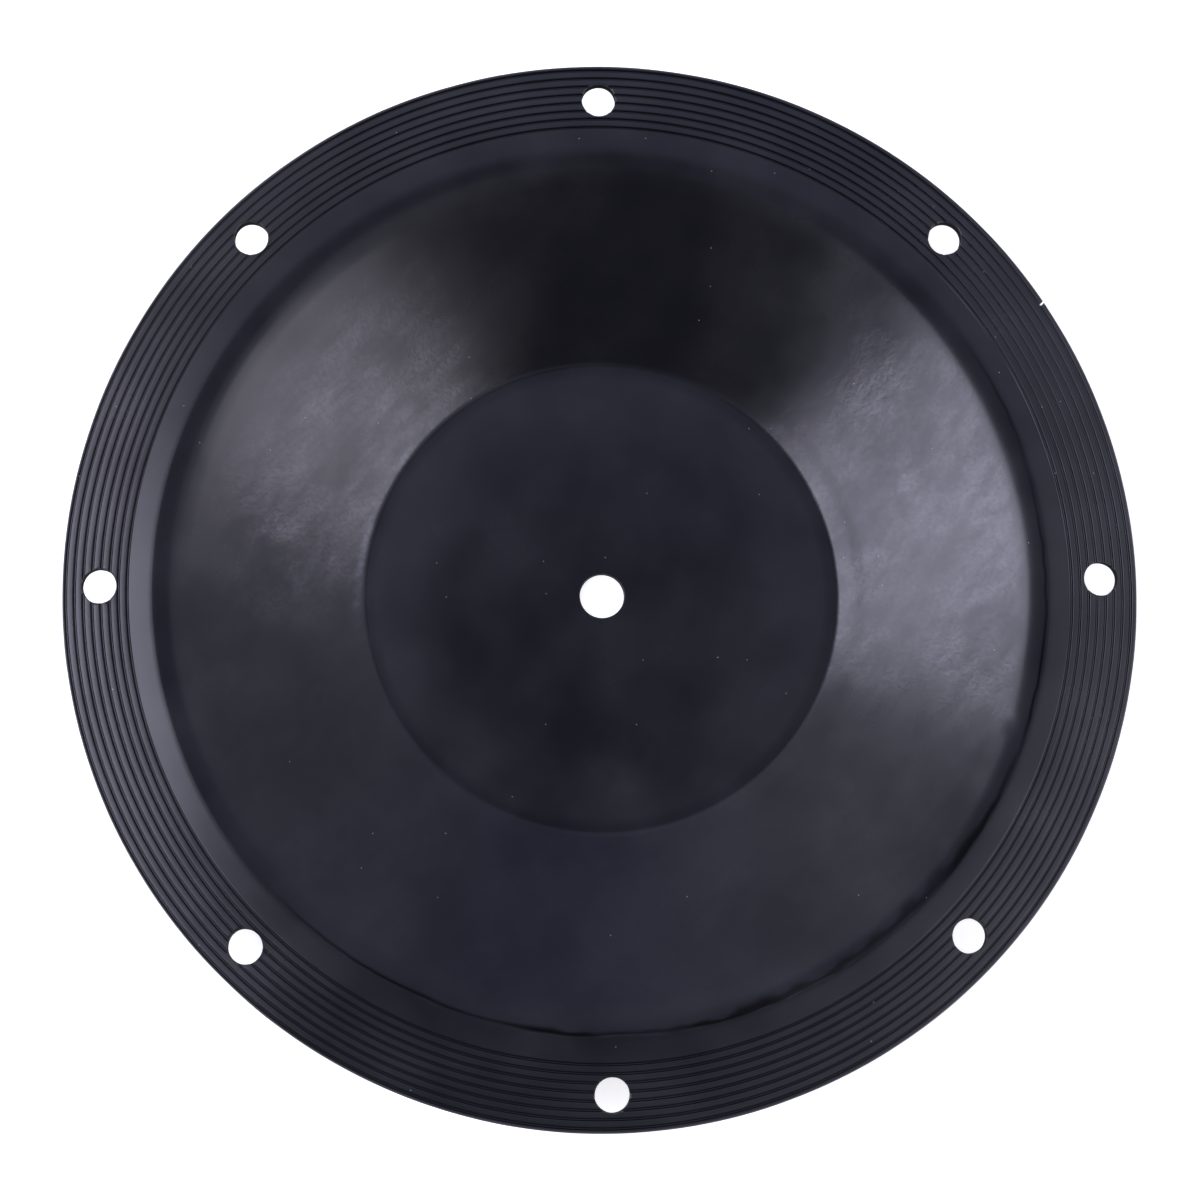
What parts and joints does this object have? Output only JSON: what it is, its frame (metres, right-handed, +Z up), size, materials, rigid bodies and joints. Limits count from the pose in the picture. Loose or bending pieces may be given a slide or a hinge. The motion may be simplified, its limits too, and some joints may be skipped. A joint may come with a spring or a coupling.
{
  "type": "pump diaphragm",
  "caption": "Round rubber pump diaphragm, a shallow moulded dish with a grooved bolting flange, a rounded shoulder, a conical wall and a flat centre with a shaft hole.",
  "frame": {"origin": "middle of the flat underside that the diaphragm rests on", "axes": "+Z up along the shaft, out of the hollow side; +X through a bolt hole"},
  "size_m": [0.305, 0.305, 0.0325],
  "materials": {
    "rubber": "moulded black synthetic rubber, satin, with a faint cloudy bloom"
  },
  "bodies": {
    "root": {"diaphragm": "rubber"}
  },
  "joints": []
}
